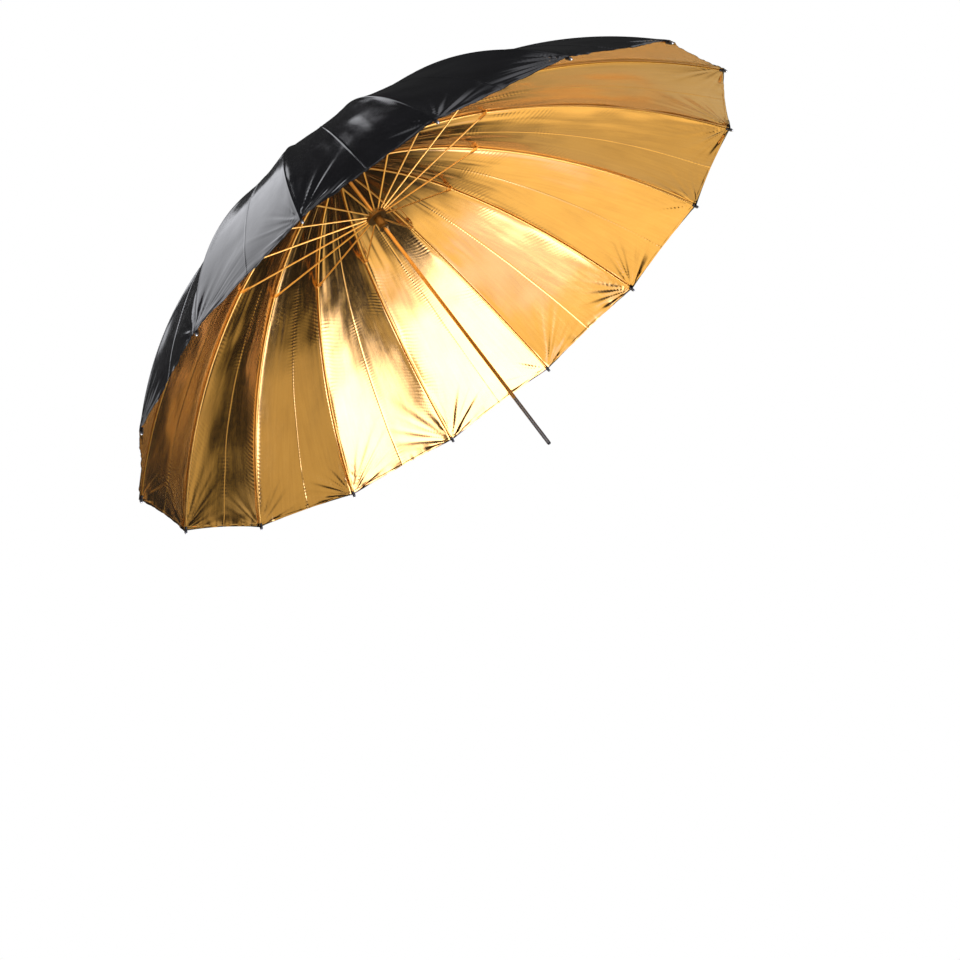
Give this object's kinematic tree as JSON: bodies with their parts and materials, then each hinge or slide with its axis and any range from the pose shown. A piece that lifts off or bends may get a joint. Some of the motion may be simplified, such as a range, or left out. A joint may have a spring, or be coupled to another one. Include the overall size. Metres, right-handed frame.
{
  "type": "umbrella reflector",
  "caption": "Folding photographic umbrella with a domed canopy, gold inside and black outside, on sprung ribs with stretchers, a sliding runner and a thin round shaft.",
  "frame": {"origin": "centre of the shaft's free end", "axes": "+Z along the shaft towards the crown; +X below the first rib; the bowl opens towards -Z"},
  "size_m": [1.5042, 1.5042, 0.8078],
  "materials": {
    "canopy_fabric": "gold reflective coating inside, black satin outside",
    "gilt_steel": "gold lacquer, satin",
    "shaft_metal": "dark grey satin",
    "black_plastic": "moulded matte",
    "steel_wire": "bright drawn wire"
  },
  "bodies": {
    "root": {"shaft": "shaft_metal", "end_plug": "black_plastic", "crown": "black_plastic", "crown_ring": "steel_wire", "rosette": "black_plastic", "ferrule": "black_plastic", "canopy": "canopy_fabric"},
    "rib_inner_01": {"rib_inner_01": "gilt_steel"},
    "rib_outer_01": {"rib_outer_01": "gilt_steel"},
    "stretcher_01": {"stretcher_01": "gilt_steel"},
    "rib_inner_02": {"rib_inner_02": "gilt_steel"},
    "rib_outer_02": {"rib_outer_02": "gilt_steel"},
    "stretcher_02": {"stretcher_02": "gilt_steel"},
    "rib_inner_03": {"rib_inner_03": "gilt_steel"},
    "rib_outer_03": {"rib_outer_03": "gilt_steel"},
    "stretcher_03": {"stretcher_03": "gilt_steel"},
    "rib_inner_04": {"rib_inner_04": "gilt_steel"},
    "rib_outer_04": {"rib_outer_04": "gilt_steel"},
    "stretcher_04": {"stretcher_04": "gilt_steel"},
    "rib_inner_05": {"rib_inner_05": "gilt_steel"},
    "rib_outer_05": {"rib_outer_05": "gilt_steel"},
    "stretcher_05": {"stretcher_05": "gilt_steel"},
    "rib_inner_06": {"rib_inner_06": "gilt_steel"},
    "rib_outer_06": {"rib_outer_06": "gilt_steel"},
    "stretcher_06": {"stretcher_06": "gilt_steel"},
    "rib_inner_07": {"rib_inner_07": "gilt_steel"},
    "rib_outer_07": {"rib_outer_07": "gilt_steel"},
    "stretcher_07": {"stretcher_07": "gilt_steel"},
    "rib_inner_08": {"rib_inner_08": "gilt_steel"},
    "rib_outer_08": {"rib_outer_08": "gilt_steel"},
    "stretcher_08": {"stretcher_08": "gilt_steel"},
    "rib_inner_09": {"rib_inner_09": "gilt_steel"},
    "rib_outer_09": {"rib_outer_09": "gilt_steel"},
    "stretcher_09": {"stretcher_09": "gilt_steel"},
    "rib_inner_10": {"rib_inner_10": "gilt_steel"},
    "rib_outer_10": {"rib_outer_10": "gilt_steel"},
    "stretcher_10": {"stretcher_10": "gilt_steel"},
    "rib_inner_11": {"rib_inner_11": "gilt_steel"},
    "rib_outer_11": {"rib_outer_11": "gilt_steel"},
    "stretcher_11": {"stretcher_11": "gilt_steel"},
    "rib_inner_12": {"rib_inner_12": "gilt_steel"},
    "rib_outer_12": {"rib_outer_12": "gilt_steel"},
    "stretcher_12": {"stretcher_12": "gilt_steel"},
    "rib_inner_13": {"rib_inner_13": "gilt_steel"},
    "rib_outer_13": {"rib_outer_13": "gilt_steel"},
    "stretcher_13": {"stretcher_13": "gilt_steel"},
    "rib_inner_14": {"rib_inner_14": "gilt_steel"},
    "rib_outer_14": {"rib_outer_14": "gilt_steel"},
    "stretcher_14": {"stretcher_14": "gilt_steel"},
    "rib_inner_15": {"rib_inner_15": "gilt_steel"},
    "rib_outer_15": {"rib_outer_15": "gilt_steel"},
    "stretcher_15": {"stretcher_15": "gilt_steel"},
    "rib_inner_16": {"rib_inner_16": "gilt_steel"},
    "rib_outer_16": {"rib_outer_16": "gilt_steel"},
    "stretcher_16": {"stretcher_16": "gilt_steel"},
    "runner": {"runner": "black_plastic", "runner_ring": "steel_wire"},
    "catch": {"catch": "steel_wire"}
  },
  "joints": [
    {"name": "fold", "type": "hinge", "parent": "root", "child": "rib_inner_01", "pos_m": [0.018, 0, 0.78], "axis": [0, 1, 0], "range_deg": [0, 73], "deforming": ["canopy", "catch"]},
    {"name": "rib_flex_01", "type": "hinge", "parent": "rib_inner_01", "child": "rib_outer_01", "pos_m": [0.33733, 0, 0.70862], "axis": [0, 1, 0], "range_deg": [-26, 0]},
    {"name": "stretcher_hinge_01", "type": "hinge", "parent": "rib_inner_01", "child": "stretcher_01", "pos_m": [0.33733, 0, 0.70862], "axis": [0, 1, 0], "range_deg": [-146, 0]},
    {"name": "rib_hinge_02", "type": "hinge", "parent": "root", "child": "rib_inner_02", "pos_m": [0.01663, 0.00689, 0.78], "axis": [-0.3827, 0.9239, 0], "range_deg": [0, 73]},
    {"name": "rib_flex_02", "type": "hinge", "parent": "rib_inner_02", "child": "rib_outer_02", "pos_m": [0.31166, 0.12909, 0.70862], "axis": [-0.3827, 0.9239, 0], "range_deg": [-26, 0]},
    {"name": "stretcher_hinge_02", "type": "hinge", "parent": "rib_inner_02", "child": "stretcher_02", "pos_m": [0.31166, 0.12909, 0.70862], "axis": [-0.3827, 0.9239, 0], "range_deg": [-146, 0]},
    {"name": "rib_hinge_03", "type": "hinge", "parent": "root", "child": "rib_inner_03", "pos_m": [0.01273, 0.01273, 0.78], "axis": [-0.7071, 0.7071, 0], "range_deg": [0, 73]},
    {"name": "rib_flex_03", "type": "hinge", "parent": "rib_inner_03", "child": "rib_outer_03", "pos_m": [0.23853, 0.23853, 0.70862], "axis": [-0.7071, 0.7071, 0], "range_deg": [-26, 0]},
    {"name": "stretcher_hinge_03", "type": "hinge", "parent": "rib_inner_03", "child": "stretcher_03", "pos_m": [0.23853, 0.23853, 0.70862], "axis": [-0.7071, 0.7071, 0], "range_deg": [-146, 0]},
    {"name": "rib_hinge_04", "type": "hinge", "parent": "root", "child": "rib_inner_04", "pos_m": [0.00689, 0.01663, 0.78], "axis": [-0.9239, 0.3827, 0], "range_deg": [0, 73]},
    {"name": "rib_flex_04", "type": "hinge", "parent": "rib_inner_04", "child": "rib_outer_04", "pos_m": [0.12909, 0.31166, 0.70862], "axis": [-0.9239, 0.3827, 0], "range_deg": [-26, 0]},
    {"name": "stretcher_hinge_04", "type": "hinge", "parent": "rib_inner_04", "child": "stretcher_04", "pos_m": [0.12909, 0.31166, 0.70862], "axis": [-0.9239, 0.3827, 0], "range_deg": [-146, 0]},
    {"name": "rib_hinge_05", "type": "hinge", "parent": "root", "child": "rib_inner_05", "pos_m": [0, 0.018, 0.78], "axis": [-1, 0, 0], "range_deg": [0, 73]},
    {"name": "rib_flex_05", "type": "hinge", "parent": "rib_inner_05", "child": "rib_outer_05", "pos_m": [0, 0.33733, 0.70862], "axis": [-1, 0, 0], "range_deg": [-26, 0]},
    {"name": "stretcher_hinge_05", "type": "hinge", "parent": "rib_inner_05", "child": "stretcher_05", "pos_m": [0, 0.33733, 0.70862], "axis": [-1, 0, 0], "range_deg": [-146, 0]},
    {"name": "rib_hinge_06", "type": "hinge", "parent": "root", "child": "rib_inner_06", "pos_m": [-0.00689, 0.01663, 0.78], "axis": [-0.9239, -0.3827, 0], "range_deg": [0, 73]},
    {"name": "rib_flex_06", "type": "hinge", "parent": "rib_inner_06", "child": "rib_outer_06", "pos_m": [-0.12909, 0.31166, 0.70862], "axis": [-0.9239, -0.3827, 0], "range_deg": [-26, 0]},
    {"name": "stretcher_hinge_06", "type": "hinge", "parent": "rib_inner_06", "child": "stretcher_06", "pos_m": [-0.12909, 0.31166, 0.70862], "axis": [-0.9239, -0.3827, 0], "range_deg": [-146, 0]},
    {"name": "rib_hinge_07", "type": "hinge", "parent": "root", "child": "rib_inner_07", "pos_m": [-0.01273, 0.01273, 0.78], "axis": [-0.7071, -0.7071, 0], "range_deg": [0, 73]},
    {"name": "rib_flex_07", "type": "hinge", "parent": "rib_inner_07", "child": "rib_outer_07", "pos_m": [-0.23853, 0.23853, 0.70862], "axis": [-0.7071, -0.7071, 0], "range_deg": [-26, 0]},
    {"name": "stretcher_hinge_07", "type": "hinge", "parent": "rib_inner_07", "child": "stretcher_07", "pos_m": [-0.23853, 0.23853, 0.70862], "axis": [-0.7071, -0.7071, 0], "range_deg": [-146, 0]},
    {"name": "rib_hinge_08", "type": "hinge", "parent": "root", "child": "rib_inner_08", "pos_m": [-0.01663, 0.00689, 0.78], "axis": [-0.3827, -0.9239, 0], "range_deg": [0, 73]},
    {"name": "rib_flex_08", "type": "hinge", "parent": "rib_inner_08", "child": "rib_outer_08", "pos_m": [-0.31166, 0.12909, 0.70862], "axis": [-0.3827, -0.9239, 0], "range_deg": [-26, 0]},
    {"name": "stretcher_hinge_08", "type": "hinge", "parent": "rib_inner_08", "child": "stretcher_08", "pos_m": [-0.31166, 0.12909, 0.70862], "axis": [-0.3827, -0.9239, 0], "range_deg": [-146, 0]},
    {"name": "rib_hinge_09", "type": "hinge", "parent": "root", "child": "rib_inner_09", "pos_m": [-0.018, 0, 0.78], "axis": [0, -1, 0], "range_deg": [0, 73]},
    {"name": "rib_flex_09", "type": "hinge", "parent": "rib_inner_09", "child": "rib_outer_09", "pos_m": [-0.33733, 0, 0.70862], "axis": [0, -1, 0], "range_deg": [-26, 0]},
    {"name": "stretcher_hinge_09", "type": "hinge", "parent": "rib_inner_09", "child": "stretcher_09", "pos_m": [-0.33733, 0, 0.70862], "axis": [0, -1, 0], "range_deg": [-146, 0]},
    {"name": "rib_hinge_10", "type": "hinge", "parent": "root", "child": "rib_inner_10", "pos_m": [-0.01663, -0.00689, 0.78], "axis": [0.3827, -0.9239, 0], "range_deg": [0, 73]},
    {"name": "rib_flex_10", "type": "hinge", "parent": "rib_inner_10", "child": "rib_outer_10", "pos_m": [-0.31166, -0.12909, 0.70862], "axis": [0.3827, -0.9239, 0], "range_deg": [-26, 0]},
    {"name": "stretcher_hinge_10", "type": "hinge", "parent": "rib_inner_10", "child": "stretcher_10", "pos_m": [-0.31166, -0.12909, 0.70862], "axis": [0.3827, -0.9239, 0], "range_deg": [-146, 0]},
    {"name": "rib_hinge_11", "type": "hinge", "parent": "root", "child": "rib_inner_11", "pos_m": [-0.01273, -0.01273, 0.78], "axis": [0.7071, -0.7071, 0], "range_deg": [0, 73]},
    {"name": "rib_flex_11", "type": "hinge", "parent": "rib_inner_11", "child": "rib_outer_11", "pos_m": [-0.23853, -0.23853, 0.70862], "axis": [0.7071, -0.7071, 0], "range_deg": [-26, 0]},
    {"name": "stretcher_hinge_11", "type": "hinge", "parent": "rib_inner_11", "child": "stretcher_11", "pos_m": [-0.23853, -0.23853, 0.70862], "axis": [0.7071, -0.7071, 0], "range_deg": [-146, 0]},
    {"name": "rib_hinge_12", "type": "hinge", "parent": "root", "child": "rib_inner_12", "pos_m": [-0.00689, -0.01663, 0.78], "axis": [0.9239, -0.3827, 0], "range_deg": [0, 73]},
    {"name": "rib_flex_12", "type": "hinge", "parent": "rib_inner_12", "child": "rib_outer_12", "pos_m": [-0.12909, -0.31166, 0.70862], "axis": [0.9239, -0.3827, 0], "range_deg": [-26, 0]},
    {"name": "stretcher_hinge_12", "type": "hinge", "parent": "rib_inner_12", "child": "stretcher_12", "pos_m": [-0.12909, -0.31166, 0.70862], "axis": [0.9239, -0.3827, 0], "range_deg": [-146, 0]},
    {"name": "rib_hinge_13", "type": "hinge", "parent": "root", "child": "rib_inner_13", "pos_m": [0, -0.018, 0.78], "axis": [1, 0, 0], "range_deg": [0, 73]},
    {"name": "rib_flex_13", "type": "hinge", "parent": "rib_inner_13", "child": "rib_outer_13", "pos_m": [0, -0.33733, 0.70862], "axis": [1, 0, 0], "range_deg": [-26, 0]},
    {"name": "stretcher_hinge_13", "type": "hinge", "parent": "rib_inner_13", "child": "stretcher_13", "pos_m": [0, -0.33733, 0.70862], "axis": [1, 0, 0], "range_deg": [-146, 0]},
    {"name": "rib_hinge_14", "type": "hinge", "parent": "root", "child": "rib_inner_14", "pos_m": [0.00689, -0.01663, 0.78], "axis": [0.9239, 0.3827, 0], "range_deg": [0, 73]},
    {"name": "rib_flex_14", "type": "hinge", "parent": "rib_inner_14", "child": "rib_outer_14", "pos_m": [0.12909, -0.31166, 0.70862], "axis": [0.9239, 0.3827, 0], "range_deg": [-26, 0]},
    {"name": "stretcher_hinge_14", "type": "hinge", "parent": "rib_inner_14", "child": "stretcher_14", "pos_m": [0.12909, -0.31166, 0.70862], "axis": [0.9239, 0.3827, 0], "range_deg": [-146, 0]},
    {"name": "rib_hinge_15", "type": "hinge", "parent": "root", "child": "rib_inner_15", "pos_m": [0.01273, -0.01273, 0.78], "axis": [0.7071, 0.7071, 0], "range_deg": [0, 73]},
    {"name": "rib_flex_15", "type": "hinge", "parent": "rib_inner_15", "child": "rib_outer_15", "pos_m": [0.23853, -0.23853, 0.70862], "axis": [0.7071, 0.7071, 0], "range_deg": [-26, 0]},
    {"name": "stretcher_hinge_15", "type": "hinge", "parent": "rib_inner_15", "child": "stretcher_15", "pos_m": [0.23853, -0.23853, 0.70862], "axis": [0.7071, 0.7071, 0], "range_deg": [-146, 0]},
    {"name": "rib_hinge_16", "type": "hinge", "parent": "root", "child": "rib_inner_16", "pos_m": [0.01663, -0.00689, 0.78], "axis": [0.3827, 0.9239, 0], "range_deg": [0, 73]},
    {"name": "rib_flex_16", "type": "hinge", "parent": "rib_inner_16", "child": "rib_outer_16", "pos_m": [0.31166, -0.12909, 0.70862], "axis": [0.3827, 0.9239, 0], "range_deg": [-26, 0]},
    {"name": "stretcher_hinge_16", "type": "hinge", "parent": "rib_inner_16", "child": "stretcher_16", "pos_m": [0.31166, -0.12909, 0.70862], "axis": [0.3827, 0.9239, 0], "range_deg": [-146, 0]},
    {"name": "runner_hinge", "type": "hinge", "parent": "stretcher_01", "child": "runner", "pos_m": [0.018, 0, 0.63724], "axis": [0, 1, 0], "range_deg": [0, 73]},
    {"name": "catch_press", "type": "slide", "parent": "root", "child": "catch", "axis": [-1, 0, 0], "range_m": [0, 0.0026], "stiffness_N_per_m": 300}
  ],
  "couplings": [
    {"joint": "rib_flex_01", "follows": "fold", "ratio": -0.35616},
    {"joint": "stretcher_hinge_01", "follows": "fold", "ratio": -2},
    {"joint": "rib_hinge_02", "follows": "fold", "ratio": 1},
    {"joint": "rib_flex_02", "follows": "fold", "ratio": -0.35616},
    {"joint": "stretcher_hinge_02", "follows": "fold", "ratio": -2},
    {"joint": "rib_hinge_03", "follows": "fold", "ratio": 1},
    {"joint": "rib_flex_03", "follows": "fold", "ratio": -0.35616},
    {"joint": "stretcher_hinge_03", "follows": "fold", "ratio": -2},
    {"joint": "rib_hinge_04", "follows": "fold", "ratio": 1},
    {"joint": "rib_flex_04", "follows": "fold", "ratio": -0.35616},
    {"joint": "stretcher_hinge_04", "follows": "fold", "ratio": -2},
    {"joint": "rib_hinge_05", "follows": "fold", "ratio": 1},
    {"joint": "rib_flex_05", "follows": "fold", "ratio": -0.35616},
    {"joint": "stretcher_hinge_05", "follows": "fold", "ratio": -2},
    {"joint": "rib_hinge_06", "follows": "fold", "ratio": 1},
    {"joint": "rib_flex_06", "follows": "fold", "ratio": -0.35616},
    {"joint": "stretcher_hinge_06", "follows": "fold", "ratio": -2},
    {"joint": "rib_hinge_07", "follows": "fold", "ratio": 1},
    {"joint": "rib_flex_07", "follows": "fold", "ratio": -0.35616},
    {"joint": "stretcher_hinge_07", "follows": "fold", "ratio": -2},
    {"joint": "rib_hinge_08", "follows": "fold", "ratio": 1},
    {"joint": "rib_flex_08", "follows": "fold", "ratio": -0.35616},
    {"joint": "stretcher_hinge_08", "follows": "fold", "ratio": -2},
    {"joint": "rib_hinge_09", "follows": "fold", "ratio": 1},
    {"joint": "rib_flex_09", "follows": "fold", "ratio": -0.35616},
    {"joint": "stretcher_hinge_09", "follows": "fold", "ratio": -2},
    {"joint": "rib_hinge_10", "follows": "fold", "ratio": 1},
    {"joint": "rib_flex_10", "follows": "fold", "ratio": -0.35616},
    {"joint": "stretcher_hinge_10", "follows": "fold", "ratio": -2},
    {"joint": "rib_hinge_11", "follows": "fold", "ratio": 1},
    {"joint": "rib_flex_11", "follows": "fold", "ratio": -0.35616},
    {"joint": "stretcher_hinge_11", "follows": "fold", "ratio": -2},
    {"joint": "rib_hinge_12", "follows": "fold", "ratio": 1},
    {"joint": "rib_flex_12", "follows": "fold", "ratio": -0.35616},
    {"joint": "stretcher_hinge_12", "follows": "fold", "ratio": -2},
    {"joint": "rib_hinge_13", "follows": "fold", "ratio": 1},
    {"joint": "rib_flex_13", "follows": "fold", "ratio": -0.35616},
    {"joint": "stretcher_hinge_13", "follows": "fold", "ratio": -2},
    {"joint": "rib_hinge_14", "follows": "fold", "ratio": 1},
    {"joint": "rib_flex_14", "follows": "fold", "ratio": -0.35616},
    {"joint": "stretcher_hinge_14", "follows": "fold", "ratio": -2},
    {"joint": "rib_hinge_15", "follows": "fold", "ratio": 1},
    {"joint": "rib_flex_15", "follows": "fold", "ratio": -0.35616},
    {"joint": "stretcher_hinge_15", "follows": "fold", "ratio": -2},
    {"joint": "rib_hinge_16", "follows": "fold", "ratio": 1},
    {"joint": "rib_flex_16", "follows": "fold", "ratio": -0.35616},
    {"joint": "stretcher_hinge_16", "follows": "fold", "ratio": -2},
    {"joint": "runner_hinge", "follows": "fold", "ratio": 1}
  ]
}
